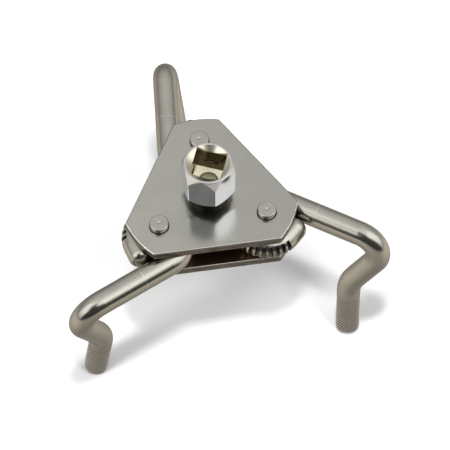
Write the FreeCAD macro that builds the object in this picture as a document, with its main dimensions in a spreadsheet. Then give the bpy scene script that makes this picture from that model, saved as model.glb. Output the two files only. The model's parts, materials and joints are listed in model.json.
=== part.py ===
import FreeCAD, Part
import math
import os

import Sketcher

# Three-jaw oil filter wrench. The frame's origin is on the drive axis, on the underside of the
# lower plate where the end of a filter comes to rest. +Z runs up the drive axis to the square
# socket, and the pivot of arm_1 is on +Y. Millimetres and degrees.

Vector = FreeCAD.Vector
Rotation = FreeCAD.Rotation
Placement = FreeCAD.Placement
UP = Vector(0, 0, 1)
ORIGIN = Vector(0, 0, 0)

ARMS = 3
FLANK_POINTS = 6
STEP_ANGLE = 360.0 / ARMS
FIRST_PIVOT_ANGLE = 90.0

SIZES = {
    # the two plates
    "plate_thickness": 3.9,
    "plate_spacing": 10.5,
    "plate_corner_radius": 36.7,
    "plate_edge_distance": 26.0,
    "plate_corner_round": 1.2,
    "plate_edge_round": 0.45,
    "pivot_circle_radius": 25.5,
    "plate_hole_chamfer": 0.3,
    # pivot pins and the sleeves that space the plates
    "pin_diameter": 7.8,
    "pin_proud": 2.4,
    "pin_round": 0.5,
    "pin_punch_diameter": 1.5,
    "pin_punch_depth": 0.3,
    "sleeve_diameter": 11.08,
    "sleeve_bore": 7.9,
    # the bent rod of an arm, measured along its centre line
    "rod_diameter": 10.0,
    "eye_radius": 10.6,
    "eye_start_angle": 150.0,
    "eye_end_angle": 350.0,
    "tail_length": 4.9,
    "tail_nose_length": 4.2,
    "shank_offset": 12.6,
    "shank_reach": 36.3,
    "elbow_radius": 9.3,
    "elbow_turn": 114.9,
    "web_length": 17.5,
    "knee_radius": 20.9,
    "knee_turn": 29.5,
    "jaw_lean": 7.0,
    "jaw_plain_length": 1.2,
    "knurl_length": 23.2,
    "knurl_root_diameter": 9.64,
    "jaw_end_chamfer": 0.8,
    "arm_rest_angle": -4.7,
    # gear teeth of the eyes and the pinion
    "pressure_angle": 14.5,
    "eye_teeth": 34.0,
    "eye_tooth_share": 0.40,
    "eye_dedendum": 1.36,
    "eye_spaces": 18.0,
    "last_space_angle": 334.2,
    "pinion_teeth": 24.0,
    "pinion_tooth_share": 0.57,
    "pinion_dedendum": 1.1,
    "pinion_width": 10.0,
    "pinion_core_diameter": 17.0,
    # spindle
    "lower_journal_diameter": 10.0,
    "upper_journal_diameter": 14.0,
    "journal_clearance": 0.05,
    "tenon_diameter": 8.4,
    "tenon_flats": 7.0,
    "tenon_proud": 1.1,
    "tenon_round": 0.9,
    # drive socket
    "socket_lift": 0.3,
    "socket_height": 21.9,
    "neck_diameter": 14.8,
    "neck_height": 5.0,
    "hex_flats": 20.0,
    "hex_turn": 6.0,
    "hex_lower_chamfer": 1.8,
    "hex_edge_round": 0.9,
    "hex_upper_chamfer": 4.6,
    "rim_diameter": 19.8,
    "rim_round": 0.5,
    "rim_width": 1.0,
    "rim_inner_round": 0.35,
    "dish_angle": 33.0,
    "drive_square": 12.85,
    "square_depth": 13.6,
    "detent_depth": 8.5,
    "detent_ring_radius": 4.5,
    "detent_tube_radius": 2.9,
}

doc = FreeCAD.newDocument("OilFilterWrench")
sheet = doc.addObject("Spreadsheet::Sheet", "Dims")
for row, (alias, value) in enumerate(SIZES.items(), start=1):
    sheet.set(f"A{row}", alias)
    sheet.set(f"B{row}", str(value))
    sheet.setAlias(f"B{row}", alias)
doc.recompute()


def size(alias):
    """The number in the sheet under this alias."""
    return float(sheet.get(alias))


def bind(obj, **expressions):
    """Tie properties of an object to expressions of the sheet."""
    for prop, expression in expressions.items():
        obj.setExpression(prop, expression)


def polar(radius, degrees, height=0.0):
    angle = math.radians(degrees)
    return Vector(radius * math.cos(angle), radius * math.sin(angle), height)


# ---- levels up the drive axis ------------------------------------------------

GAP_BOTTOM = size("plate_thickness")
GAP_TOP = GAP_BOTTOM + size("plate_spacing")
PLATES_TOP = GAP_TOP + size("plate_thickness")
ROD_LEVEL = (GAP_BOTTOM + GAP_TOP) / 2
SOCKET_BOTTOM = PLATES_TOP + size("socket_lift")
SOCKET_FLOOR = SOCKET_BOTTOM + size("socket_height") - size("square_depth")


# ---- gear proportions: the pinion on the drive axis meets the three eyes ------------

MODULE = 2 * size("pivot_circle_radius") / (size("eye_teeth") + size("pinion_teeth"))


# ---- PartDesign helpers --------------------------------------------------------

def new_body(label):
    body = doc.addObject("PartDesign::Body", label)
    body.Label = label
    return body


def new_sketch(body, name, plane, height=0.0):
    """A sketch on one of the body's own origin planes, lifted along that plane's normal."""
    sketch = body.newObject("Sketcher::SketchObject", name)
    support = [f for f in body.Origin.OriginFeatures if f.Role == plane][0]
    sketch.AttachmentSupport = [(support, "")]
    sketch.MapMode = "FlatFace"
    sketch.AttachmentOffset = Placement(Vector(0, 0, height), Rotation())
    return sketch


def close_profile(sketch, points):
    """Straight lines through the points. Each point is a pair of expressions of the sheet."""
    count = len(points)
    numbers = [Vector(evaluate(x), evaluate(y), 0) for x, y in points]
    for i in range(count):
        sketch.addGeometry(Part.LineSegment(numbers[i], numbers[(i + 1) % count]))
    for i in range(count):
        sketch.addConstraint(Sketcher.Constraint("Coincident", i, 2, (i + 1) % count, 1))
    for i, (x, y) in enumerate(points):
        across = Sketcher.Constraint("DistanceX", -1, 1, i, 1, numbers[i].x)
        along = Sketcher.Constraint("DistanceY", -1, 1, i, 1, numbers[i].y)
        for constraint, expression in ((across, x), (along, y)):
            index = sketch.addConstraint(constraint)
            sketch.setExpression(f"Constraints[{index}]", expression)


def evaluate(expression):
    """An expression of the sheet as a number."""
    return float(sheet.evalExpression(expression.replace("Dims.", "")))


def turned(body, name, points):
    """A profile of (radius, height) pairs turned round the Z axis."""
    sketch = new_sketch(body, name + "_profile", "XZ_Plane")
    close_profile(sketch, points)
    feature = body.newObject("PartDesign::Revolution", name)
    feature.Profile = sketch
    feature.ReferenceAxis = (sketch, ["V_Axis"])
    feature.Angle = 360.0
    doc.recompute()
    return feature


def circle_pocket(body, name, diameter, y_expression=None):
    """A round hole right through the body, parallel to Z and centred on the Y axis."""
    sketch = new_sketch(body, name + "_circle", "XY_Plane")
    centre = Vector(0, evaluate(y_expression) if y_expression else 0.0, 0)
    sketch.addGeometry(Part.Circle(centre, UP, evaluate(diameter) / 2))
    index = sketch.addConstraint(Sketcher.Constraint("Diameter", 0, evaluate(diameter)))
    sketch.setExpression(f"Constraints[{index}]", diameter)
    if y_expression:
        sketch.addConstraint(Sketcher.Constraint("PointOnObject", 0, 3, -2))
        index = sketch.addConstraint(Sketcher.Constraint("DistanceY", -1, 1, 0, 3, centre.y))
        sketch.setExpression(f"Constraints[{index}]", y_expression)
    else:
        sketch.addConstraint(Sketcher.Constraint("Coincident", 0, 3, -1, 1))
    pocket = body.newObject("PartDesign::Pocket", name)
    pocket.Profile = sketch
    pocket.Type = "ThroughAll"
    pocket.Midplane = True
    doc.recompute()
    return pocket


def edge_names(shape, wanted):
    return [f"Edge{i}" for i, edge in enumerate(shape.Edges, start=1) if wanted(edge)]


def dress(body, kind, name, wanted, size_alias):
    """A fillet or chamfer on the edges of the body's tip that the test picks out."""
    base = body.Tip
    feature = body.newObject(kind, name)
    feature.Base = (base, edge_names(base.Shape, wanted))
    prop = "Radius" if kind.endswith("Fillet") else "Size"
    bind(feature, **{prop: "Dims." + size_alias})
    body.Tip = feature
    doc.recompute()
    return feature


def circle_of(radius, level=None):
    """A test for whole circles of this radius, at this height if one is given."""
    def wanted(edge):
        if edge.Curve.TypeId != "Part::GeomCircle":
            return False
        level_is_right = level is None or abs(edge.Curve.Center.z - level) < 0.01
        return level_is_right and abs(edge.Curve.Radius - radius) < 0.01
    return wanted


# ---- plates --------------------------------------------------------------------

def plate_outline(sketch):
    """A triangle whose corners are cut off by a circle about the drive axis."""
    radius = size("plate_corner_radius")
    half = math.radians(60) - math.acos(size("plate_edge_distance") / radius)
    for k in range(ARMS):
        middle = math.radians(FIRST_PIVOT_ANGLE + STEP_ANGLE * k)
        arc = Part.ArcOfCircle(Part.Circle(ORIGIN, UP, radius), middle - half, middle + half)
        sketch.addGeometry(arc)
    for k in range(ARMS):
        start = sketch.Geometry[k].EndPoint
        end = sketch.Geometry[(k + 1) % ARMS].StartPoint
        sketch.addGeometry(Part.LineSegment(start, end))
    for k in range(ARMS):
        line = ARMS + k
        sketch.addConstraint(Sketcher.Constraint("Coincident", k, 3, -1, 1))
        sketch.addConstraint(Sketcher.Constraint("Coincident", k, 2, line, 1))
        sketch.addConstraint(Sketcher.Constraint("Coincident", line, 2, (k + 1) % ARMS, 1))
        direction = math.radians(FIRST_PIVOT_ANGLE + 150.0 + STEP_ANGLE * k)
        sketch.addConstraint(Sketcher.Constraint("Angle", line, direction))
        distance = Sketcher.Constraint("Distance", -1, 1, line, size("plate_edge_distance"))
        index = sketch.addConstraint(distance)
        sketch.setExpression(f"Constraints[{index}]", "Dims.plate_edge_distance")
    index = sketch.addConstraint(Sketcher.Constraint("Radius", 0, radius))
    sketch.setExpression(f"Constraints[{index}]", "Dims.plate_corner_radius")


def make_plate(label, level, hub_diameter):
    """One blanked plate with three pin holes and a hole for the spindle's journal."""
    body = new_body(label)
    outline = new_sketch(body, label + "_outline", "XY_Plane")
    plate_outline(outline)
    pad = body.newObject("PartDesign::Pad", label + "_pad")
    pad.Profile = outline
    bind(pad, Length="Dims.plate_thickness")
    doc.recompute()
    thickness = size("plate_thickness")

    def upright(edge):
        return abs(edge.tangentAt(edge.FirstParameter).z) > 0.99

    def outline_edge(edge):
        return not upright(edge)

    dress(body, "PartDesign::Fillet", label + "_corners", upright, "plate_corner_round")
    dress(body, "PartDesign::Fillet", label + "_edges", outline_edge, "plate_edge_round")
    solid_volume = body.Shape.Volume
    pin_hole = circle_pocket(
        body, label + "_pin_hole", "Dims.pin_diameter", "Dims.pivot_circle_radius"
    )
    pattern = body.newObject("PartDesign::PolarPattern", label + "_pin_holes")
    pattern.Originals = [pin_hole]
    pattern.Axis = (pin_hole.Profile[0], ["N_Axis"])
    pattern.Angle = 360.0
    pattern.Occurrences = ARMS
    body.Tip = pattern
    doc.recompute()
    circle_pocket(body, label + "_hub_hole", hub_diameter)
    holes = ARMS * evaluate("Dims.pin_diameter") ** 2 + evaluate(hub_diameter) ** 2
    expected = solid_volume - math.pi / 4 * holes * thickness
    assert abs(body.Shape.Volume - expected) < 1.0, label + ": a hole is missing"

    def hole_rim(edge):
        return edge.Curve.TypeId == "Part::GeomCircle" and len(edge.Vertexes) == 1

    dress(body, "PartDesign::Chamfer", label + "_rims", hole_rim, "plate_hole_chamfer")
    body.Placement = Placement(Vector(0, 0, level), Rotation())
    return body


# ---- pins and sleeves ----------------------------------------------------------

def make_pin(label, angle):
    """A straight pin through both plates, proud on each side and marked by a centre punch."""
    body = new_body(label)
    low = "-Dims.pin_proud"
    high = "2 * Dims.plate_thickness + Dims.plate_spacing + Dims.pin_proud"
    radius = "Dims.pin_diameter / 2"
    punch = "Dims.pin_punch_diameter / 2"
    turned(body, label + "_turned", [
        ("0", low + " + Dims.pin_punch_depth"),
        (punch, low),
        (radius, low),
        (radius, high),
        (punch, high),
        ("0", high + " - Dims.pin_punch_depth"),
    ])
    ends = circle_of(size("pin_diameter") / 2)
    dress(body, "PartDesign::Fillet", label + "_ends", ends, "pin_round")
    body.Placement = Placement(polar(size("pivot_circle_radius"), angle), Rotation())
    return body


def make_sleeve(label, angle):
    """The tube round a pin that keeps the plates apart and carries an arm's eye."""
    body = new_body(label)
    inner = "Dims.sleeve_bore / 2"
    outer = "Dims.sleeve_diameter / 2"
    turned(body, label + "_turned", [
        (inner, "0"),
        (outer, "0"),
        (outer, "Dims.plate_spacing"),
        (inner, "Dims.plate_spacing"),
    ])
    place = polar(size("pivot_circle_radius"), angle, GAP_BOTTOM)
    body.Placement = Placement(place, Rotation())
    return body


# ---- involute teeth --------------------------------------------------------------

def involute(angle):
    return math.tan(angle) - angle


class Gear:
    """The proportions of one of the two meshing gears, named as in the sheet."""

    def __init__(self, name):
        self.teeth = int(size(name + "_teeth"))
        self.pitch_angle = 360.0 / self.teeth
        self.pitch_radius = MODULE * self.teeth / 2
        self.thickness = size(name + "_tooth_share") * math.pi * MODULE
        self.root = self.pitch_radius - size(name + "_dedendum")
        self.tip = self.pitch_radius + MODULE

    def half_tooth(self, radius):
        """Half the angle that a tooth fills at this radius."""
        pressure = math.radians(size("pressure_angle"))
        base_radius = self.pitch_radius * math.cos(pressure)
        local = math.acos(min(1.0, base_radius / radius))
        middle = self.thickness / (2 * self.pitch_radius)
        return middle + involute(pressure) - involute(local)

    def flank(self, centre, side, outward):
        """One flank of the tooth at this angle, drawn from root to tip or back."""
        steps = [i / (FLANK_POINTS - 1) for i in range(FLANK_POINTS)]
        radii = [self.root + (self.tip - self.root) * step for step in steps]
        if not outward:
            radii.reverse()
        angles = [centre + side * self.half_tooth(radius) for radius in radii]
        points = [
            Vector(radius * math.cos(angle), radius * math.sin(angle), 0)
            for radius, angle in zip(radii, angles)
        ]
        curve = Part.BSplineCurve()
        curve.interpolate(points)
        return curve.toShape()


EYE = Gear("eye")
PINION = Gear("pinion")


def pinion_turn():
    """Where a pinion tooth stands so that it fills the nearest space of the first eye."""
    towards_pinion = 180.0 - size("arm_rest_angle")
    lead = (size("last_space_angle") - towards_pinion) % EYE.pitch_angle
    return FIRST_PIVOT_ANGLE - lead * EYE.teeth / PINION.teeth


def pinion_face():
    """The outline of the pinion."""
    edges = []
    previous = None
    for k in range(PINION.teeth):
        centre = math.radians(pinion_turn() + PINION.pitch_angle * k)
        rising = PINION.flank(centre, -1, outward=True)
        falling = PINION.flank(centre, 1, outward=False)
        if previous:
            edges.append(Part.makeLine(previous, rising.Vertexes[0].Point))
        else:
            first = rising.Vertexes[0].Point
        edges.append(rising)
        edges.append(Part.makeLine(rising.Vertexes[-1].Point, falling.Vertexes[0].Point))
        edges.append(falling)
        previous = falling.Vertexes[-1].Point
    edges.append(Part.makeLine(previous, first))
    return Part.Face(Part.Wire(Part.__sortEdges__(edges)))


def tooth_space(angle):
    """A prism that gashes one space between two teeth into the outside of an eye."""
    turn = math.radians(angle)
    half_pitch = math.pi / EYE.teeth
    rising = EYE.flank(turn - half_pitch, 1, outward=True)
    falling = EYE.flank(turn + half_pitch, -1, outward=False)
    corners = [rising.Vertexes[-1].Point, falling.Vertexes[0].Point]
    outer = [corner * (1 + MODULE / corner.Length) for corner in corners]
    edges = [
        rising,
        Part.makeLine(corners[0], outer[0]),
        Part.makeLine(outer[0], outer[1]),
        Part.makeLine(outer[1], corners[1]),
        falling,
        Part.makeLine(falling.Vertexes[-1].Point, rising.Vertexes[0].Point),
    ]
    face = Part.Face(Part.Wire(Part.__sortEdges__(edges)))
    height = size("plate_spacing")
    face.translate(Vector(0, 0, -height / 2))
    return face.extrude(Vector(0, 0, height))


# ---- arms ------------------------------------------------------------------------

class RodWalk:
    """Lays straight and bent lengths of round stock end to end, as objects of the document."""

    def __init__(self, prefix, start, direction):
        self.prefix = prefix
        self.point = start
        self.direction = direction
        self.pieces = []

    def add(self, kind, **expressions):
        piece = doc.addObject(kind, f"{self.prefix}_{len(self.pieces)}")
        bind(piece, **expressions)
        self.pieces.append(piece)
        return piece

    def straight(self, length, radius="Dims.rod_diameter / 2", end_radius=None):
        """A cylinder, or a cone where the end has a radius of its own."""
        if end_radius:
            piece = self.add("Part::Cone", Radius1=radius, Radius2=end_radius, Height=length)
        else:
            piece = self.add("Part::Cylinder", Radius=radius, Height=length)
        piece.Placement = Placement(self.point, Rotation(UP, self.direction))
        self.point = self.point + self.direction * evaluate(length)

    def nose(self, length):
        """A rounded end: half an ellipsoid as wide as the rod."""
        radius = "Dims.rod_diameter / 2"
        piece = self.add("Part::Ellipsoid", Radius1=length, Radius2=radius, Radius3=radius)
        piece.Angle1 = 0
        piece.Placement = Placement(self.point, Rotation(UP, self.direction))

    def bend(self, radius, turn, axis):
        """A bend about an axis square to the rod, by the right-hand rule."""
        reach = evaluate(radius)
        out = self.direction.cross(axis)
        centre = self.point - out * reach
        piece = self.add(
            "Part::Torus", Radius1=radius, Radius2="Dims.rod_diameter / 2", Angle3=turn
        )
        frame = Rotation(out, self.direction, axis, "ZXY")
        piece.Placement = Placement(centre, frame)
        rotation = Rotation(axis, evaluate(turn))
        self.point = centre + rotation.multVec(out) * reach
        self.direction = rotation.multVec(self.direction)


def lay_eye(label):
    """The rod's closed end: it leaves the shank, wraps the pivot and ends beside the shank."""
    start = math.radians(size("eye_start_angle"))
    eye = size("eye_radius")
    offset = size("shank_offset")
    blend = (offset - eye * math.sin(start)) / (1 - math.sin(start))
    root = Vector((eye - blend) * math.cos(start), offset, 0)
    walk = RodWalk(label + "_eye", root, Vector(-1, 0, 0))
    blend_radius = (
        "(Dims.shank_offset - Dims.eye_radius * sin(Dims.eye_start_angle * 1deg))"
        " / (1 - sin(Dims.eye_start_angle * 1deg))"
    )
    walk.bend(blend_radius, "Dims.eye_start_angle - 90", UP)
    walk.bend("Dims.eye_radius", "Dims.eye_end_angle - Dims.eye_start_angle", UP)
    walk.straight("Dims.tail_length")
    walk.nose("Dims.tail_nose_length")
    return root, walk.pieces


def lay_jaw(label, root):
    """The shank, the elbow down past the plates, the knee and the knurled jaw."""
    walk = RodWalk(label + "_jaw", root, Vector(1, 0, 0))
    lean = Rotation(Vector(1, 0, 0), -size("jaw_lean"))
    down = lean.multVec(Vector(0, 0, -1))
    into_jaw_plane = walk.direction.cross(down)
    shank = walk.add("Part::Cylinder", Radius="Dims.rod_diameter / 2")
    shank.Height = size("shank_reach") - root.x
    shank.Placement = Placement(root, Rotation(UP, walk.direction))
    walk.point = Vector(size("shank_reach"), root.y, 0)
    walk.bend("Dims.elbow_radius", "Dims.elbow_turn", into_jaw_plane)
    walk.straight("Dims.web_length")
    walk.bend("Dims.knee_radius", "Dims.knee_turn", into_jaw_plane * -1)
    walk.straight("Dims.jaw_plain_length")
    knurl = "Dims.knurl_root_diameter / 2"
    walk.straight("Dims.knurl_length - Dims.jaw_end_chamfer", knurl)
    walk.straight("Dims.jaw_end_chamfer", knurl, knurl + " - Dims.jaw_end_chamfer")
    return walk.pieces


def make_arm(label, pivot_angle):
    """One bent rod: eye with gear teeth, shank, elbow, knee and jaw."""
    root, pieces = lay_eye(label)
    pieces += lay_jaw(label, root)
    rod = doc.addObject("Part::MultiFuse", label + "_rod")
    rod.Shapes = pieces
    doc.recompute()
    last = size("last_space_angle")
    spaces = doc.addObject("Part::Feature", label + "_tooth_spaces")
    spaces.Shape = Part.makeCompound(
        [tooth_space(last - EYE.pitch_angle * k) for k in range(int(size("eye_spaces")))]
    )
    arm = doc.addObject("Part::Cut", label)
    arm.Label = label
    arm.Base = rod
    arm.Tool = spaces
    doc.recompute()
    pivot = polar(size("pivot_circle_radius"), pivot_angle, ROD_LEVEL)
    arm.Placement = Placement(pivot, Rotation(UP, pivot_angle + size("arm_rest_angle")))
    return arm


# ---- drive -------------------------------------------------------------------------

def make_spindle(label):
    """Pinion, two journals and a tenon whose peened end shows in the socket's floor."""
    shaft = new_body(label + "_shaft")
    core = "Dims.pinion_core_diameter / 2"
    lower = "Dims.lower_journal_diameter / 2"
    upper = "Dims.upper_journal_diameter / 2"
    tenon = "Dims.tenon_diameter / 2"
    side_gap = "(Dims.plate_spacing - Dims.pinion_width) / 2"
    gear_low = "Dims.plate_thickness + " + side_gap
    gear_high = gear_low + " + Dims.pinion_width"
    shoulder = "2 * Dims.plate_thickness + Dims.plate_spacing + Dims.socket_lift"
    floor = shoulder + " + Dims.socket_height - Dims.square_depth"
    turned(shaft, label + "_turned", [
        ("0", "0"),
        (lower + " - 0.5", "0"),
        (lower, "0.5"),
        (lower, gear_low),
        (core, gear_low),
        (core, gear_high),
        (upper, gear_high),
        (upper, shoulder),
        (tenon, shoulder),
        (tenon, floor + " + Dims.tenon_proud"),
        ("0", floor + " + Dims.tenon_proud"),
    ])
    peened = circle_of(size("tenon_diameter") / 2, SOCKET_FLOOR + size("tenon_proud"))
    dress(shaft, "PartDesign::Fillet", label + "_peened", peened, "tenon_round")
    gear = doc.addObject("Part::Feature", label + "_gear")
    gear.Shape = pinion_face().extrude(Vector(0, 0, size("pinion_width")))
    side = (size("plate_spacing") - size("pinion_width")) / 2
    gear.Placement = Placement(Vector(0, 0, GAP_BOTTOM + side), Rotation())
    blank = doc.addObject("Part::MultiFuse", label + "_blank")
    blank.Shapes = [shaft, gear]
    flats = []
    corner = Vector(-size("tenon_diameter") / 2, size("tenon_flats") / 2, SOCKET_BOTTOM)
    for half_turns in (0, 1):
        flat = doc.addObject("Part::Box", f"{label}_flat_{half_turns}")
        bind(
            flat,
            Length="Dims.tenon_diameter",
            Width="Dims.tenon_diameter",
            Height="Dims.socket_height - Dims.square_depth",
        )
        turn = Rotation(UP, size("hex_turn") + 180 * half_turns)
        flat.Placement = Placement(turn.multVec(corner), turn)
        flats.append(flat)
    tools = doc.addObject("Part::MultiFuse", label + "_flats")
    tools.Shapes = flats
    spindle = doc.addObject("Part::Cut", label)
    spindle.Label = label
    spindle.Base = blank
    spindle.Tool = tools
    doc.recompute()
    return spindle


def hexagon(sketch, flats, turn):
    """A regular hexagon whose first flat faces the given direction, inside a waste circle."""
    corner_radius = flats / math.sqrt(3)
    corners = [polar(corner_radius, turn + 30 + 60 * k) for k in range(6)]
    for k in range(6):
        sketch.addGeometry(Part.LineSegment(corners[k], corners[(k + 1) % 6]))
    for k in range(6):
        sketch.addConstraint(Sketcher.Constraint("Coincident", k, 2, (k + 1) % 6, 1))
        distance = Sketcher.Constraint("Distance", -1, 1, k, flats / 2)
        index = sketch.addConstraint(distance)
        sketch.setExpression(f"Constraints[{index}]", "Dims.hex_flats / 2")
        direction = math.radians(turn + 60 + 90 + 60 * k)
        sketch.addConstraint(Sketcher.Constraint("Angle", k, direction))
    sketch.addGeometry(Part.Circle(ORIGIN, UP, flats))
    sketch.addConstraint(Sketcher.Constraint("Coincident", 6, 3, -1, 1))
    sketch.addConstraint(Sketcher.Constraint("Radius", 6, flats))


def square(sketch, side, turn):
    """A square about the origin. The sheet holds its side as drive_square."""
    half = side / 2
    spin = Rotation(UP, turn)
    corners = [
        spin.multVec(Vector(x, y, 0))
        for x, y in ((-half, -half), (half, -half), (half, half), (-half, half))
    ]
    for k in range(4):
        sketch.addGeometry(Part.LineSegment(corners[k], corners[(k + 1) % 4]))
    for k in range(4):
        sketch.addConstraint(Sketcher.Constraint("Coincident", k, 2, (k + 1) % 4, 1))
        index = sketch.addConstraint(Sketcher.Constraint("Distance", -1, 1, k, half))
        sketch.setExpression(f"Constraints[{index}]", "Dims.drive_square / 2")
        direction = math.radians(turn + 90 * k)
        sketch.addConstraint(Sketcher.Constraint("Angle", k, direction))


def pocket_down(body, name, sketch, length_expression=None):
    """A pocket from the sketch down into the body, or right through it."""
    before = body.Shape.Volume
    pocket = body.newObject("PartDesign::Pocket", name)
    pocket.Profile = sketch
    if length_expression:
        bind(pocket, Length=length_expression)
    else:
        pocket.Type = "ThroughAll"
    doc.recompute()
    assert body.Shape.Volume < before - 1.0, name + ": nothing was cut"
    return pocket


def make_socket(label):
    """The hexagonal drive head: a turned blank with milled flats and a square socket."""
    body = new_body(label)
    neck = "Dims.neck_diameter / 2"
    corner = "Dims.hex_flats / sqrt(3)"
    under = "Dims.hex_flats / 2 - 0.3"
    rim = "Dims.rim_diameter / 2"
    dish = rim + " - Dims.rim_width"
    top = "Dims.socket_height"
    turned(body, label + "_blank", [
        ("0", "0"),
        (neck, "0"),
        (neck, "Dims.neck_height"),
        (under, "Dims.neck_height"),
        (corner, "Dims.neck_height + Dims.hex_lower_chamfer"),
        (corner, top + " - Dims.hex_upper_chamfer"),
        (rim, top),
        (dish, top),
        ("0", f"{top} - ({dish}) * tan(Dims.dish_angle * 1deg)"),
    ])
    rim_edge = circle_of(size("rim_diameter") / 2, size("socket_height"))
    dress(body, "PartDesign::Fillet", label + "_rim", rim_edge, "rim_round")
    dish_edge = circle_of(evaluate(dish), size("socket_height"))
    dress(body, "PartDesign::Fillet", label + "_dish", dish_edge, "rim_inner_round")
    flats = new_sketch(body, label + "_hexagon", "XY_Plane", size("socket_height"))
    hexagon(flats, size("hex_flats"), size("hex_turn"))
    pocket_down(body, label + "_flats", flats)

    def hex_edge(edge):
        point = edge.valueAt(edge.FirstParameter)
        straight = edge.Curve.TypeId == "Part::GeomLine"
        outside = math.hypot(point.x, point.y) > size("hex_flats") / 2 + 0.5
        return straight and outside and abs(edge.tangentAt(edge.FirstParameter).z) > 0.99

    dress(body, "PartDesign::Fillet", label + "_edges", hex_edge, "hex_edge_round")
    mouth = new_sketch(body, label + "_square", "XY_Plane", size("socket_height"))
    square(mouth, size("drive_square"), size("hex_turn") + 60)
    pocket_down(body, label + "_socket", mouth, "Dims.square_depth")
    before = body.Shape.Volume
    ring = new_sketch(body, label + "_detent_circle", "XZ_Plane")
    place = Vector(size("detent_ring_radius"), size("socket_height") - size("detent_depth"), 0)
    ring.addGeometry(Part.Circle(place, UP, size("detent_tube_radius")))
    for index, expression in (
        (ring.addConstraint(Sketcher.Constraint("DistanceX", -1, 1, 0, 3, place.x)),
         "Dims.detent_ring_radius"),
        (ring.addConstraint(Sketcher.Constraint("DistanceY", -1, 1, 0, 3, place.y)),
         "Dims.socket_height - Dims.detent_depth"),
        (ring.addConstraint(Sketcher.Constraint("Radius", 0, size("detent_tube_radius"))),
         "Dims.detent_tube_radius"),
    ):
        ring.setExpression(f"Constraints[{index}]", expression)
    groove = body.newObject("PartDesign::Groove", label + "_detents")
    groove.Profile = ring
    groove.ReferenceAxis = (ring, ["V_Axis"])
    groove.Angle = 360.0
    doc.recompute()
    assert body.Shape.Volume < before - 1.0, "the detents were not cut"
    bore = new_sketch(body, label + "_tenon_bore", "XY_Plane", size("socket_height"))
    tenon_hole(bore)
    pocket_down(body, label + "_bore", bore)
    body.Placement = Placement(Vector(0, 0, SOCKET_BOTTOM), Rotation())
    return body


def tenon_hole(sketch):
    """The round hole with two flats that the spindle's tenon fills."""
    radius = size("tenon_diameter") / 2
    half = size("tenon_flats") / 2
    reach = math.asin(half / radius)
    turn = math.radians(size("hex_turn"))
    for side in (0, math.pi):
        arc = Part.ArcOfCircle(
            Part.Circle(ORIGIN, UP, radius), turn + side - reach, turn + side + reach
        )
        sketch.addGeometry(arc)
    for k in range(2):
        start = sketch.Geometry[k].EndPoint
        end = sketch.Geometry[1 - k].StartPoint
        sketch.addGeometry(Part.LineSegment(start, end))
        sketch.addConstraint(Sketcher.Constraint("Coincident", k, 3, -1, 1))
        sketch.addConstraint(Sketcher.Constraint("Coincident", k, 2, 2 + k, 1))
        sketch.addConstraint(Sketcher.Constraint("Coincident", 2 + k, 2, 1 - k, 1))
        index = sketch.addConstraint(Sketcher.Constraint("Distance", -1, 1, 2 + k, half))
        sketch.setExpression(f"Constraints[{index}]", "Dims.tenon_flats / 2")
        direction = turn + math.pi * (1 + k)
        sketch.addConstraint(Sketcher.Constraint("Angle", 2 + k, direction))
    index = sketch.addConstraint(Sketcher.Constraint("Radius", 0, radius))
    sketch.setExpression(f"Constraints[{index}]", "Dims.tenon_diameter / 2")


# ---- assembly ------------------------------------------------------------------------

def build():
    clearance = " + 2 * Dims.journal_clearance"
    parts = [
        make_plate("bottom_plate", 0.0, "Dims.lower_journal_diameter" + clearance),
        make_plate("top_plate", GAP_TOP, "Dims.upper_journal_diameter" + clearance),
    ]
    for k in range(ARMS):
        angle = FIRST_PIVOT_ANGLE + STEP_ANGLE * k
        number = k + 1
        parts.append(make_pin(f"pivot_pin_{number}", angle))
        parts.append(make_sleeve(f"pivot_sleeve_{number}", angle))
        parts.append(make_arm(f"arm_{number}", angle))
    parts.append(make_spindle("pinion_spindle"))
    parts.append(make_socket("drive_socket"))
    return parts


def check(parts):
    """Stops before anything is written if an object failed or a shape isn't a sound solid."""
    doc.recompute()
    for obj in doc.Objects:
        bad = {"Invalid", "Error"} & set(obj.State)
        assert not bad, f"{obj.Name}: {bad}"
    for part in parts:
        shape = part.Shape
        assert not shape.isNull(), part.Label + " has no shape"
        assert shape.isValid(), part.Label + " has a faulty shape"
        assert len(shape.Solids) == 1, f"{part.Label} has {len(shape.Solids)} solids"


def export(parts):
    os.makedirs("parts", exist_ok=True)
    for part in parts:
        part.Shape.exportStep(f"parts/{part.Label}.step")


all_parts = build()
check(all_parts)
export(all_parts)
for part in all_parts:
    box = part.Shape.BoundBox
    print(f"{part.Label}: {part.Shape.Volume:.1f} mm3, z {box.ZMin:.2f} to {box.ZMax:.2f}")
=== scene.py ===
"""A three-jaw oil filter wrench: materials, knurled jaws, floor, light and camera on the frame."""

import json
import math

import bmesh
import bpy
from mathutils import Matrix, Vector

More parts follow.
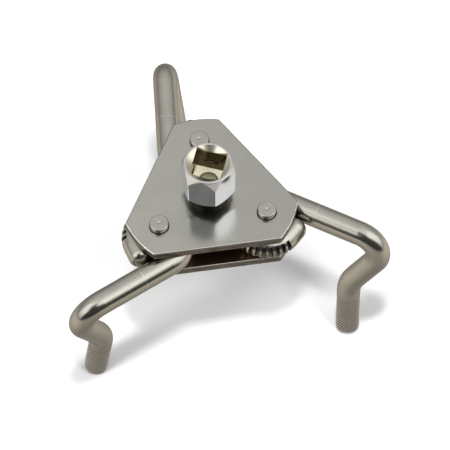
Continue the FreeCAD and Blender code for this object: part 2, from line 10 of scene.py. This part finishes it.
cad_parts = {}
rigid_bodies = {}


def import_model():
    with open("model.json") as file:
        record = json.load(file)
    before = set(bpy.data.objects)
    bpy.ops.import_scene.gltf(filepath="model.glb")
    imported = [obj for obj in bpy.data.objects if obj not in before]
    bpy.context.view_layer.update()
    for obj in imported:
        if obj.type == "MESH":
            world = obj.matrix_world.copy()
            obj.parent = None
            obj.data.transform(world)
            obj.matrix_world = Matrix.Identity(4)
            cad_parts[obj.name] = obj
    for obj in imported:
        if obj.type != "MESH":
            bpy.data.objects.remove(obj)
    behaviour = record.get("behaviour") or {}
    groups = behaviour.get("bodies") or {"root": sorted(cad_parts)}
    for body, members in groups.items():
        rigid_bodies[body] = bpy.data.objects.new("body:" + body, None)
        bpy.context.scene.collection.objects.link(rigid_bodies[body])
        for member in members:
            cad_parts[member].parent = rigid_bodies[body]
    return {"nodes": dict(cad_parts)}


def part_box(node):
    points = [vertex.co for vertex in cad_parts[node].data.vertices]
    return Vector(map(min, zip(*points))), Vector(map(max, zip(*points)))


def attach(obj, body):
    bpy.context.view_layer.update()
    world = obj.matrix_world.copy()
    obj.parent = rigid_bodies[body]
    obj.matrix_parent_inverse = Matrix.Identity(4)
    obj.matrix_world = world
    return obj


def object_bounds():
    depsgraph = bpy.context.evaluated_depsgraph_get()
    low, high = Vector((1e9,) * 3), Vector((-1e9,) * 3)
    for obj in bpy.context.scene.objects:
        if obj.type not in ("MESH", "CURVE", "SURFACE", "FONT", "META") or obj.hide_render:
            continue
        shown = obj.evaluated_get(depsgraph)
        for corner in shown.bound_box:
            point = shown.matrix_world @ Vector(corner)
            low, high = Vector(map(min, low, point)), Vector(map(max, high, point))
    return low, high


MM = 0.001
ARMS = (1, 2, 3)

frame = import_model()
cad_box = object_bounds()
nodes = frame["nodes"]


# ---- places read from the frame -----------------------------------------------------------------

PLATES_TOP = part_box("top_plate")[1].z
FLOOR_LEVEL = cad_box[0].z

# How far a shank is turned, at rest, from the line that joins the drive axis to its pivot.
ARM_REST_ANGLE = math.radians(-4.7)

# What counts as a jaw's flat end: near its lowest point, facing down, and all in one plane.
TIP_REACH = 12 * MM
DOWNWARD = -0.9
SAME_PLANE = 0.99999


def arm_axes(number):
    """(along the shank, from the pivot towards the shank's side) as level directions, at rest."""
    low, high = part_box(f"pivot_sleeve_{number}")
    turn = math.atan2((low + high).y, (low + high).x) + ARM_REST_ANGLE
    along = Vector((math.cos(turn), math.sin(turn), 0))
    return along, Vector((-along.y, along.x, 0))


def jaw_end(number):
    """(centre, direction) of the flat end of an arm's jaw, which is its lowest flat face."""
    mesh = nodes[f"arm_{number}"].data
    lowest = min(mesh.vertices, key=lambda vertex: vertex.co.z).co
    near = [
        face for face in mesh.polygons
        if face.normal.z < DOWNWARD and (face.center - lowest).length < TIP_REACH
    ]
    direction = max(near, key=lambda face: face.area).normal.copy()
    cap = [face for face in near if face.normal.dot(direction) > SAME_PLANE]
    area = sum(face.area for face in cap)
    centre = sum((face.center * face.area for face in cap), Vector()) / area
    return centre, direction


def jaw_matrix(number):
    """Puts the origin at the centre of a jaw's flat end, with +Z running up the jaw."""
    centre, direction = jaw_end(number)
    turn = direction.to_track_quat("-Z", "Y").to_matrix().to_4x4()
    return Matrix.Translation(centre) @ turn


# ---- node tools ---------------------------------------------------------------------------------

class Maker:
    """A node tree that is built from short calls, whose values may be numbers or sockets."""

    def __init__(self, tree):
        self.tree = tree
        tree.nodes.clear()

    def add(self, kind, inputs=None, **settings):
        node = self.tree.nodes.new(kind)
        for name, value in settings.items():
            setattr(node, name, value)
        for name, value in (inputs or {}).items():
            self.put(node.inputs[name], value)
        return node

    def put(self, socket, value):
        if isinstance(value, bpy.types.NodeSocket):
            self.tree.links.new(value, socket)
        else:
            socket.default_value = value

    def math(self, operation, *values):
        node = self.add("ShaderNodeMath", operation=operation)
        for socket, value in zip(node.inputs, values):
            self.put(socket, value)
        return node.outputs[0]

    def times(self, *factors):
        product = factors[0]
        for factor in factors[1:]:
            product = self.math("MULTIPLY", product, factor)
        return product

    def vector_math(self, operation, *values):
        node = self.add("ShaderNodeVectorMath", operation=operation)
        for socket, value in zip(node.inputs, values):
            self.put(socket, value)
        return node

    def dot(self, vector, direction):
        return self.vector_math("DOT_PRODUCT", vector, tuple(direction)).outputs["Value"]

    def noise(self, vector, scale, detail=3.0, roughness=0.55):
        inputs = {"Vector": vector, "Scale": scale, "Detail": detail, "Roughness": roughness}
        return self.add("ShaderNodeTexNoise", inputs).outputs["Fac"]

    def span(self, value, low, high, to_low, to_high, smooth=False):
        """The value taken from one range to another, and held at its ends."""
        names = ("From Min", "From Max", "To Min", "To Max")
        inputs = dict(zip(names, (low, high, to_low, to_high)), Value=value)
        kind = "SMOOTHSTEP" if smooth else "LINEAR"
        return self.add("ShaderNodeMapRange", inputs, interpolation_type=kind).outputs[0]

    def mix(self, factor, first, second, data_type="RGBA"):
        """The first colour, or number, where the factor is 0, and the second where it is 1."""
        ending = "Color" if data_type == "RGBA" else "Float"
        node = self.add("ShaderNodeMix", data_type=data_type)
        inputs = {socket.identifier: socket for socket in node.inputs}
        self.put(inputs["Factor_Float"], factor)
        self.put(inputs[f"A_{ending}"], first)
        self.put(inputs[f"B_{ending}"], second)
        outputs = {socket.identifier: socket for socket in node.outputs}
        return outputs[f"Result_{ending}"]

    def bump(self, height, depth, over=None):
        """A surface direction with this relief, on top of another one if it is given."""
        inputs = {"Strength": 1.0, "Distance": depth, "Height": height}
        if over is not None:
            inputs["Normal"] = over
        return self.add("ShaderNodeBump", inputs).outputs[0]


PIT_SCALE = 1500  # per metre
PIT_SHADE = 0.8  # of the metal's own shade


class Metal:
    """A metal with mottled colour and gloss, a fine grain, and patches mixed in by masks."""

    def __init__(self, name, colour, shade, roughness, spread, grain, depth, mottle=14 * MM):
        """Roughness varies by `spread`. `grain` and `mottle` are sizes; the grain has a `depth`."""
        self.material = bpy.data.materials.new(name)
        self.material.use_nodes = True
        self.m = m = Maker(self.material.node_tree)
        coordinates = m.add("ShaderNodeTexCoord").outputs
        self.where = coordinates["Object"]
        self.facing = coordinates["Normal"]
        cloud = m.noise(self.where, 1 / mottle, 4.0)
        speck = m.noise(self.where, 1 / grain, 2.0, 0.7)
        self.colour = m.mix(m.span(cloud, 0.3, 0.7, 0.0, 1.0), (*shade, 1), (*colour, 1))
        self.roughness = m.span(
            m.math("ADD", m.times(cloud, 0.6), m.times(speck, 0.4)),
            0.35, 0.65, roughness - spread, roughness + spread,
        )
        self.metallic = 1.0
        self.normal = m.bump(speck, depth)
        pits = m.noise(self.where, PIT_SCALE, 3.0, 0.7)
        darker = [part * PIT_SHADE for part in shade]
        self.patch(m.span(pits, 0.50, 0.75, 0.0, 0.6), darker)

    def axis(self, vector, name):
        return self.m.add("ShaderNodeSeparateXYZ", {"Vector": vector}).outputs[name]

    def level_radius(self, vector):
        """The distance from the Z axis."""
        level = self.m.vector_math("MULTIPLY", vector, (1, 1, 0)).outputs[0]
        return self.m.vector_math("LENGTH", level).outputs["Value"]

    def patch(self, mask, colour, roughness=None):
        """Another colour, and gloss if it is given, where the mask is 1."""
        self.colour = self.m.mix(mask, self.colour, (*colour, 1))
        if roughness is not None:
            self.roughness = self.m.mix(mask, self.roughness, roughness, data_type="FLOAT")

    def finish(self):
        inputs = {
            "Base Color": self.colour,
            "Roughness": self.roughness,
            "Normal": self.normal,
            "Metallic": self.metallic,
        }
        surface = self.m.add("ShaderNodeBsdfPrincipled", inputs)
        self.m.add("ShaderNodeOutputMaterial", {"Surface": surface.outputs[0]})
        return self.material


def give(node_name, material):
    """The CAD node keeps its mesh and takes this material in every slot."""
    for slot in nodes[node_name].material_slots:
        slot.material = material


# ---- colours ------------------------------------------------------------------------------------

NICKEL = (0.415, 0.402, 0.355)
NICKEL_SHADE = (0.372, 0.358, 0.309)
PLATE = (0.425, 0.416, 0.372)
PLATE_SHADE = (0.378, 0.369, 0.327)
PLATE_PAINTED_SHADE = (0.330, 0.325, 0.297)
RIM_PAINTED_HIGHLIGHT = (0.60, 0.585, 0.54)
SHEARED = (0.27, 0.24, 0.20)
SHEAR_STREAK_AND_SHADE = (0.10, 0.082, 0.065)
INNER_FACE_SHADE = (0.24, 0.15, 0.10)
GRIME_AND_SHADE = (0.034, 0.028, 0.021)
GASH = (0.20, 0.185, 0.155)
GASH_PAINTED_SHADE = (0.012, 0.010, 0.008)
RING = (0.72, 0.70, 0.64)
KNURL_POINT_WEAR_AND_HIGHLIGHT = (0.97, 0.95, 0.88)
SLEEVE = (0.34, 0.34, 0.33)
SLEEVE_SHADE = (0.26, 0.26, 0.25)
SPINDLE = (0.78, 0.74, 0.50)
SPINDLE_SHADE = (0.66, 0.62, 0.40)
CHROME = (0.88, 0.91, 0.97)
CHROME_SHADE = (0.82, 0.85, 0.92)
CHAMFER = (0.52, 0.495, 0.48)
MOUTH = (0.60, 0.56, 0.44)
SQUARE_WALL_SHADE = (0.055, 0.037, 0.015)
SQUARE_PAINTED_LIGHT = (0.48, 0.36, 0.15)
SQUARE_FLOOR = (0.74, 0.70, 0.53)


# ---- plates -------------------------------------------------------------------------------------

PAINTED_SHADE_FROM = -35 * MM
PAINTED_SHADE_TO = 45 * MM
PAINTED_SHADE_SHARE = 0.7
STREAK_SCALE = 160  # per metre
STREAK_STRETCH = 9  # a streak's length for its height
SKIN = 0.02 * MM


def plate_metal():
    """Satin plate with dull, streaky sides; painted highlights on the front rims; painted shade on
    the rear rims, towards +X and on the brown inner faces.
    """
    metal = Metal(
        "plate_nickel", PLATE, PLATE_SHADE,
        roughness=0.205, spread=0.035, grain=0.35 * MM, depth=0.0045 * MM,
    )
    m = metal.m
    # Painted shade: the plates grow darker towards +X.
    painted_shade_to_x = m.span(metal.axis(metal.where, "X"), PAINTED_SHADE_FROM, PAINTED_SHADE_TO, 0.0, PAINTED_SHADE_SHARE)
    metal.patch(painted_shade_to_x, PLATE_PAINTED_SHADE)

    tilt = m.math("ABSOLUTE", metal.axis(metal.facing, "Z"))
    side = m.span(tilt, 0.04, 0.16, 1.0, 0.0)
    drawn = m.vector_math("MULTIPLY", metal.where, (1, 1, STREAK_STRETCH)).outputs[0]
    streak = m.span(m.noise(drawn, STREAK_SCALE, 3.0, 0.7), 0.42, 0.60, 0.0, 1.0)
    metal.patch(side, SHEARED, 0.36)
    metal.patch(m.times(side, streak), SHEAR_STREAK_AND_SHADE)

    # Painted highlight on the rounded rims, and painted shade on the rims that face the rear (+Y).
    rim = m.times(m.span(tilt, 0.3, 0.5, 0.0, 1.0), m.span(tilt, 0.93, 0.985, 1.0, 0.0))
    rear_painted_shade = m.span(metal.axis(metal.facing, "Y"), -0.05, 0.15, 0.0, 1.0)
    metal.patch(rim, RIM_PAINTED_HIGHLIGHT, 0.16)
    metal.patch(m.times(rim, rear_painted_shade), SHEAR_STREAK_AND_SHADE, 0.3)

    # Painted shade: the inner faces between the plates are darker and browner.
    low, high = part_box("bottom_plate")[1].z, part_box("top_plate")[0].z
    off_middle = m.math("SUBTRACT", metal.axis(metal.where, "Z"), (low + high) / 2)
    between = m.math("LESS_THAN", m.math("ABSOLUTE", off_middle), (high - low) / 2 + SKIN)
    flat = m.span(tilt, 0.9, 0.98, 0.0, 1.0)
    metal.patch(m.times(between, flat), INNER_FACE_SHADE, 0.34)
    return metal.finish()


# ---- arms ---------------------------------------------------------------------------------------

ROD_RADIUS = 5.0 * MM
EYE_RADIUS = 10.6 * MM
TEETH_SLANT = math.tan(math.radians(20))
TEETH_SIDE = 1.9 * MM
GASH_SKIN = 0.10 * MM
GASH_DEEP = 0.7 * MM
GASH_DARK_FROM = -2.2 * MM
GASH_DARK_TO = 0.2 * MM
SHANK_SIDE = 7.0 * MM
RING_MARK = 16.8 * MM
RING_CORE = 0.08 * MM
RING_EDGE = 0.30 * MM
RING_BREAK_SCALE = 420  # per metre

KNURL_ROUND = 30  # diamonds round the jaw
KNURL_PITCH = 1.9 * MM  # one diamond's length along it
KNURL_LENGTH = 22.6 * MM
KNURL_DEPTH = 0.22 * MM
KNURL_OVERRUN = 6.5 * MM
OVERRUN_START = KNURL_LENGTH - 1.5 * MM
OVERRUN_REACH = 40 * MM


def arm_metal(number):
    """Satin rod, darker in the gashes between the gear teeth with painted shade in their upper
    part, and a turned ring mark across the shank.
    """
    metal = Metal(
        f"rod_nickel_{number}", NICKEL, NICKEL_SHADE,
        roughness=0.20, spread=0.045, grain=0.4 * MM, depth=0.006 * MM,
    )
    m = metal.m
    low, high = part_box(f"pivot_sleeve_{number}")
    along, across = arm_axes(number)
    place = m.vector_math("SUBTRACT", metal.where, tuple((low + high) / 2)).outputs[0]
    height = metal.axis(place, "Z")

    from_ring = m.math("SUBTRACT", metal.level_radius(place), EYE_RADIUS)
    squares = m.math("ADD", m.times(from_ring, from_ring), m.times(height, height))
    sunk = m.math("SUBTRACT", ROD_RADIUS, m.math("SQRT", squares))
    toothed = m.math("LESS_THAN", m.dot(place, across + along * TEETH_SLANT), TEETH_SIDE)
    gash = m.times(m.span(sunk, GASH_SKIN, GASH_DEEP, 0.0, 1.0), toothed)
    metal.patch(gash, GASH, 0.38)
    # Painted shade: the upper part of each gash, under the top plate, is near black.
    upper = m.span(height, GASH_DARK_FROM, GASH_DARK_TO, 0.0, 1.0)
    metal.patch(m.times(gash, upper), GASH_PAINTED_SHADE)

    gap = m.math("ABSOLUTE", m.math("SUBTRACT", m.dot(place, along), RING_MARK))
    ring = m.times(
        m.span(gap, RING_CORE, RING_EDGE, 0.42, 0.0),
        m.math("GREATER_THAN", m.dot(place, across), SHANK_SIDE),
        m.span(m.noise(metal.where, RING_BREAK_SCALE, 1.0), 0.45, 0.6, 0.15, 1.0),
    )
    metal.patch(ring, RING, 0.30)
    overrun_knurl(metal, number)
    return metal.finish()


def overrun_knurl(metal, number):
    """The shallow end of the knurl, where it runs past the straight jaw on to the bend."""
    m = metal.m
    jaw = jaw_matrix(number)
    place = m.vector_math("SUBTRACT", metal.where, tuple(jaw.translation)).outputs[0]
    right, up, along = [m.dot(place, jaw.col[k].xyz) for k in range(3)]
    angle = m.times(m.math("ARCTAN2", up, right), KNURL_ROUND / (2 * math.pi))
    rise = m.math("DIVIDE", along, KNURL_PITCH)
    furrows = []
    for combine in ("ADD", "SUBTRACT"):
        part = m.math("FRACT", m.math(combine, angle, rise))
        furrows.append(m.math("ABSOLUTE", m.math("SUBTRACT", m.times(part, 2.0), 1.0)))
    ridge = m.math("SUBTRACT", 1.0, m.math("MAXIMUM", *furrows))
    ridge = m.math("SINE", m.times(ridge, math.pi / 2))
    distance = m.vector_math("LENGTH", place).outputs["Value"]
    near = m.times(
        m.span(along, KNURL_LENGTH, KNURL_LENGTH + KNURL_OVERRUN, 0.85, 0.0),
        m.math("LESS_THAN", distance, OVERRUN_REACH),
        m.math("GREATER_THAN", along, OVERRUN_START),
    )
    knurl_colours(metal, ridge, near)
    metal.normal = m.bump(m.times(ridge, near), KNURL_DEPTH, over=metal.normal)


def knurl_colours(metal, relief, share):
    """Grime and painted shade in the furrows, and wear with a painted highlight on the points,
    where the relief goes from 0 to 1.
    """
    m = metal.m
    furrows = m.span(relief, 0.15, 0.60, 1.0, 0.0)
    points = m.span(relief, 0.50, 0.80, 0.0, 1.0)
    # Painted shade with grime in the furrows, and painted highlight with wear on the points.
    metal.patch(m.times(furrows, share), GRIME_AND_SHADE, 0.45)
    metal.patch(m.times(points, share), KNURL_POINT_WEAR_AND_HIGHLIGHT, 0.28)


def knurl_metal():
    """The knurl's points are worn bright with a painted highlight, and its furrows hold grime and
    painted shade.
    """
    metal = Metal(
        "knurl_nickel", NICKEL, NICKEL_SHADE,
        roughness=0.30, spread=0.05, grain=0.3 * MM, depth=0.004 * MM, mottle=3 * MM,
    )
    relief = metal.m.add("ShaderNodeAttribute", attribute_name="relief").outputs["Fac"]
    knurl_colours(metal, relief, 1.0)
    return metal.finish()


# ---- drive --------------------------------------------------------------------------------------

MOUTH_RADIUS = 9.3 * MM
NECK_RADIUS = 7.6 * MM

# Depths below the socket's top.
MOUTH_FROM = 0.05 * MM
MOUTH_TO = 0.3 * MM
SQUARE_FROM = 1.2 * MM
SQUARE_TO = 2.4 * MM
PAINTED_LIGHT_FROM = 5.0 * MM
PAINTED_LIGHT_TO = 8.0 * MM
FLOOR_START = 12.0 * MM
SQUARE_END = 14.2 * MM
NECK_START = 15.0 * MM


def socket_metal():
    """Bright chrome outside; the mouth is duller; the square hole is bare and yellowed, with
    painted shade on its walls and painted light on the wall facing +X; painted shade darkens the
    neck.
    """
    metal = Metal(
        "socket_chrome", CHROME, CHROME_SHADE,
        roughness=0.085, spread=0.02, grain=0.5 * MM, depth=0.001 * MM, mottle=6 * MM,
    )
    m = metal.m
    depth = m.math("SUBTRACT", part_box("drive_socket")[1].z, metal.axis(metal.where, "Z"))
    radius = metal.level_radius(metal.where)
    upward = metal.axis(metal.facing, "Z")
    metal.patch(m.span(upward, 0.2, 0.45, 0.0, 1.0), CHAMFER, 0.15)

    inside = m.times(
        m.math("LESS_THAN", radius, MOUTH_RADIUS), m.math("LESS_THAN", depth, SQUARE_END)
    )
    metal.patch(m.times(inside, m.span(depth, MOUTH_FROM, MOUTH_TO, 0.0, 1.0)), MOUTH, 0.22)

    wall = m.times(
        inside,
        m.span(depth, SQUARE_FROM, SQUARE_TO, 0.0, 1.0),
        m.span(upward, 0.25, 0.4, 1.0, 0.0),
    )
    painted_light = m.times(
        wall,
        m.span(metal.axis(metal.facing, "X"), 0.6, 0.8, 0.0, 1.0),
        m.span(depth, PAINTED_LIGHT_FROM, PAINTED_LIGHT_TO, 0.0, 1.0),
    )
    # Painted shade: the square's walls are near black. Painted light: the wall that faces +X is
    # lit, deeper down.
    metal.patch(wall, SQUARE_WALL_SHADE, 0.16)
    metal.patch(painted_light, SQUARE_PAINTED_LIGHT)

    floor = m.times(
        inside,
        m.math("GREATER_THAN", depth, FLOOR_START),
        m.span(upward, 0.8, 0.95, 0.0, 1.0),
    )
    metal.patch(floor, SQUARE_FLOOR, 0.45)
    metal.metallic = m.span(floor, 0.0, 1.0, 1.0, 0.5)

    # Painted shade: the neck under the hex is near black.
    neck = m.times(
        m.math("LESS_THAN", radius, NECK_RADIUS), m.math("GREATER_THAN", depth, NECK_START)
    )
    metal.patch(neck, GRIME_AND_SHADE, 0.4)
    return metal.finish()


def pin_metal():
    """Satin nickel like the rods', with a finer mottle."""
    return Metal(
        "pin_nickel", NICKEL, NICKEL_SHADE,
        roughness=0.21, spread=0.04, grain=0.3 * MM, depth=0.004 * MM, mottle=4 * MM,
    ).finish()


def sleeve_metal():
    """Dull grey steel."""
    return Metal(
        "sleeve_steel", SLEEVE, SLEEVE_SHADE,
        roughness=0.35, spread=0.06, grain=0.4 * MM, depth=0.006 * MM,
    ).finish()


def spindle_metal():
    """Bright yellowed steel with a dull gloss."""
    return Metal(
        "spindle_steel", SPINDLE, SPINDLE_SHADE,
        roughness=0.38, spread=0.05, grain=0.4 * MM, depth=0.005 * MM,
    ).finish()


plates = plate_metal()
pins = pin_metal()
sleeves = sleeve_metal()
give("bottom_plate", plates)
give("top_plate", plates)
give("pinion_spindle", spindle_metal())
give("drive_socket", socket_metal())
for number in ARMS:
    give(f"pivot_pin_{number}", pins)
    give(f"pivot_sleeve_{number}", sleeves)
    give(f"arm_{number}", arm_metal(number))


# ---- knurled jaws -------------------------------------------------------------------------------

KNURL_STEPS = 4  # squares to a diamond, each way
KNURL_COLUMNS = KNURL_ROUND * KNURL_STEPS
KNURL_RUN_IN = 0.8 * MM
TIP_CHAMFER = 0.8 * MM
TIP_SHARE = 0.45
CORE_RADIUS = 4.82 * MM
SHELL_LIFT = 0.012 * MM
SHELL_DEPTH = 0.25 * MM


def diamond(across, along):
    """Height from 0 to 1 of a diamond knurl, at a place counted in diamonds."""
    first = abs(((across + along) % 1.0) * 2 - 1)
    second = abs(((across - along) % 1.0) * 2 - 1)
    ridge = 1 - max(first, second)
    return math.sin(ridge * math.pi / 2)


def knurl_rings():
    """(distance from the tip, core radius, share of the full depth) for each ring of the knurl."""
    step = KNURL_PITCH / KNURL_STEPS
    count = round(KNURL_LENGTH / step)
    rings = []
    for k in range(count + 1):
        along = k * step
        into_chamfer = max(0.0, TIP_CHAMFER - along)
        fade_low = min(1.0, TIP_SHARE + along / TIP_CHAMFER * (1 - TIP_SHARE))
        fade_high = min(1.0, (count * step - along) / KNURL_RUN_IN)
        rings.append((along, CORE_RADIUS - into_chamfer, min(fade_low, fade_high)))
    return rings


def knurl_points(mesh, jaw):
    """The rings of points of the raised diamonds, and those of the shell's hidden back."""
    relief = mesh.verts.layers.float.new("relief")
    outer, inner = [], []
    for along, core, share in knurl_rings():
        lift = Vector((0, 0, along))
        outer_ring, inner_ring = [], []
        for column in range(KNURL_COLUMNS):
            angle = 2 * math.pi * column / KNURL_COLUMNS
            ray = Vector((math.cos(angle), math.sin(angle), 0))
            height = diamond(column / KNURL_STEPS, along / KNURL_PITCH)
            radius = core + SHELL_LIFT + KNURL_DEPTH * share * height
            point = mesh.verts.new(jaw @ (ray * radius + lift))
            point[relief] = height
            outer_ring.append(point)
            inner_ring.append(mesh.verts.new(jaw @ (ray * (core - SHELL_DEPTH) + lift)))
        outer.append(outer_ring)
        inner.append(inner_ring)
    return outer, inner


def knurl_faces(mesh, outer, inner):
    """Joins the points as a closed shell, whose outer squares are split on alternate diagonals."""
    for k in range(len(outer) - 1):
        for column in range(KNURL_COLUMNS):
            after = (column + 1) % KNURL_COLUMNS
            low, high = outer[k], outer[k + 1]
            corners = [low[column], low[after], high[after], high[column]]
            if (column + k) % 2:
                corners = corners[1:] + corners[:1]
            mesh.faces.new((corners[0], corners[1], corners[2]))
            mesh.faces.new((corners[0], corners[2], corners[3]))
            low, high = inner[k], inner[k + 1]
            mesh.faces.new((high[column], high[after], low[after], low[column]))
    for front, back in ((outer[0], inner[0]), (inner[-1], outer[-1])):
        for column in range(KNURL_COLUMNS):
            after = (column + 1) % KNURL_COLUMNS
            mesh.faces.new((front[column], back[column], back[after], front[after]))
    bmesh.ops.recalc_face_normals(mesh, faces=mesh.faces)


def knurled_jaw(number, material):
    """The raised diamonds round one jaw, as a closed shell over the plain cylinder."""
    mesh = bmesh.new()
    outer, inner = knurl_points(mesh, jaw_matrix(number))
    knurl_faces(mesh, outer, inner)
    data = bpy.data.meshes.new(f"arm_{number}_knurl")
    mesh.to_mesh(data)
    mesh.free()
    data.materials.append(material)
    piece = bpy.data.objects.new(f"arm_{number}_knurl", data)
    bpy.context.scene.collection.objects.link(piece)
    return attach(piece, f"arm_{number}")


knurl = knurl_metal()
for number in ARMS:
    knurled_jaw(number, knurl)


# ---- camera -------------------------------------------------------------------------------------

CAMERA_AZIMUTH = math.radians(-8.626)
CAMERA_ELEVATION = math.radians(58.39)
CAMERA_DISTANCE = 919.46 * MM
CAMERA_AIM = Vector((4.354 * MM, -16.367 * MM, PLATES_TOP))
CAMERA_LENS = 181.46  # millimetres, as the sensor's width is
CAMERA_SENSOR = 36
CAMERA_NEAR = 0.05
CAMERA_FAR = 60


def towards(azimuth, elevation):
    """The direction that a view from this azimuth and elevation comes from."""
    level = math.cos(elevation)
    return Vector((math.sin(azimuth) * level, -math.cos(azimuth) * level, math.sin(elevation)))


def make_camera():
    data = bpy.data.cameras.new("camera")
    data.sensor_width = CAMERA_SENSOR
    data.lens = CAMERA_LENS
    data.clip_start = CAMERA_NEAR
    data.clip_end = CAMERA_FAR
    camera = bpy.data.objects.new("camera", data)
    bpy.context.scene.collection.objects.link(camera)
    back = towards(CAMERA_AZIMUTH, CAMERA_ELEVATION)
    camera.location = CAMERA_AIM + back * CAMERA_DISTANCE
    camera.rotation_mode = "QUATERNION"
    camera.rotation_quaternion = (-back).to_track_quat("-Z", "Y")
    bpy.context.scene.camera = camera


# ---- floor and light ----------------------------------------------------------------------------

FLOOR_RADIUS = 6.0
FLOOR_SEGMENTS = 96
FLOOR_COLOUR = (0.45, 0.45, 0.45, 1)

LAMP_DISTANCE = 1.2
KEY_TOWARDS = Vector((0.0, -0.14, 1.0))
KEY_SIZE = 0.12
KEY_RADIANCE = 330.0
FILL_TURN = math.radians(50)
FILL_ELEVATION = math.radians(50)
FILL_SIZE = 0.25
FILL_RADIANCE = 45.0

SKY_TINT = (0.99, 0.99, 1.0, 1)
GROUND_TINT = (1.07, 1.0, 0.90, 1)
CARD_TOWARDS = towards(math.radians(-23), math.radians(56))
FRONT_DIM = 0.12


def make_floor():
    """A wide round sheet, level with the ends of the jaws, which the lamps light to white.

    The metal mirrors the world's ground in its place.
    """
    mesh = bmesh.new()
    bmesh.ops.create_circle(mesh, cap_ends=True, segments=FLOOR_SEGMENTS, radius=FLOOR_RADIUS)
    data = bpy.data.meshes.new("floor")
    mesh.to_mesh(data)
    mesh.free()
    floor = bpy.data.objects.new("floor", data)
    floor.location.z = FLOOR_LEVEL
    bpy.context.scene.collection.objects.link(floor)
    material = bpy.data.materials.new("floor_white")
    material.use_nodes = True
    surface = material.node_tree.nodes["Principled BSDF"]
    surface.inputs["Base Color"].default_value = FLOOR_COLOUR
    surface.inputs["Roughness"].default_value = 1.0
    surface.inputs["Specular IOR Level"].default_value = 0.0
    data.materials.append(material)
    floor.visible_glossy = False


def soft_light(name, aim, size, radiance):
    """A square soft box that faces the plates from the given direction, and isn't mirrored."""
    aim = aim.normalized()
    data = bpy.data.lights.new(name, "AREA")
    data.shape = "SQUARE"
    data.size = size
    data.energy = radiance * math.pi * size * size
    lamp = bpy.data.objects.new(name, data)
    lamp.location = Vector((0, 0, PLATES_TOP)) + aim * LAMP_DISTANCE
    lamp.rotation_mode = "QUATERNION"
    lamp.rotation_quaternion = aim.to_track_quat("Z", "Y")
    lamp.visible_glossy = False
    lamp.visible_camera = False
    bpy.context.scene.collection.objects.link(lamp)


def make_lamps():
    """One key lamp nearly overhead, and two weaker ones to the left and right in front."""
    soft_light("key", KEY_TOWARDS, KEY_SIZE, KEY_RADIANCE)
    for side in (-1, 1):
        aim = towards(CAMERA_AZIMUTH + side * FILL_TURN, FILL_ELEVATION)
        soft_light("fill", aim, FILL_SIZE, FILL_RADIANCE)


def make_world():
    """A tent of soft light over a warmer ground.

    The sky brightens upwards, most of all in its front half, but it is dark low down in front, and
    so is a card that hangs high in front. The ground is brightest to the left and right.
    """
    world = bpy.data.worlds.new("studio")
    bpy.context.scene.world = world
    world.use_nodes = True
    m = Maker(world.node_tree)
    ray = m.add("ShaderNodeTexCoord").outputs["Generated"]
    axes = m.add("ShaderNodeSeparateXYZ", {"Vector": ray}).outputs
    x, y, z = axes["X"], axes["Y"], axes["Z"]

    front = m.span(y, -0.66, -0.48, 0.0, 1.0, smooth=True)
    sky = m.times(
        m.span(z, 0.0, 0.85, 0.34, 1.0),
        m.math("ADD", m.times(front, 1 - FRONT_DIM), FRONT_DIM),
    )
    tent = m.times(
        front,
        m.span(y, -0.05, 0.42, 1.15, 0.0, smooth=True),
        m.span(z, -0.1, 0.6, 0.0, 1.0, smooth=True),
        m.span(z, 0.90, 0.985, 1.0, 0.4, smooth=True),
    )
    card = m.span(m.dot(ray, CARD_TOWARDS), 0.925, 0.985, 1.0, 0.12, smooth=True)
    above = m.times(m.math("ADD", sky, tent), card)
    below = m.times(
        m.span(m.math("ABSOLUTE", x), 0.3, 0.95, 0.56, 1.0),
        m.span(y, 0.3, 0.95, 1.0, 0.6),
        m.span(z, -0.9, -0.4, 0.7, 1.0),
    )

    horizon = m.span(z, -0.05, 0.03, 0.0, 1.0, smooth=True)
    both = m.add("ShaderNodeMixShader", {"Fac": horizon})
    halves = ((GROUND_TINT, below), (SKY_TINT, above))
    for socket, (tint, strength) in zip(both.inputs[1:], halves):
        light = m.add("ShaderNodeBackground", {"Color": tint, "Strength": strength})
        m.put(socket, light.outputs[0])
    m.add("ShaderNodeOutputWorld", {"Surface": both.outputs[0]})


def clear_defaults():
    """A fresh Blender may start with a cube, a lamp and a camera of its own."""
    for thing in list(bpy.data.objects):
        if thing.name in ("Cube", "Light", "Camera"):
            bpy.data.objects.remove(thing)


clear_defaults()
make_world()
make_floor()
make_lamps()
make_camera()
bpy.context.scene.view_settings.view_transform = "Standard"
bpy.context.scene.view_settings.look = "None"
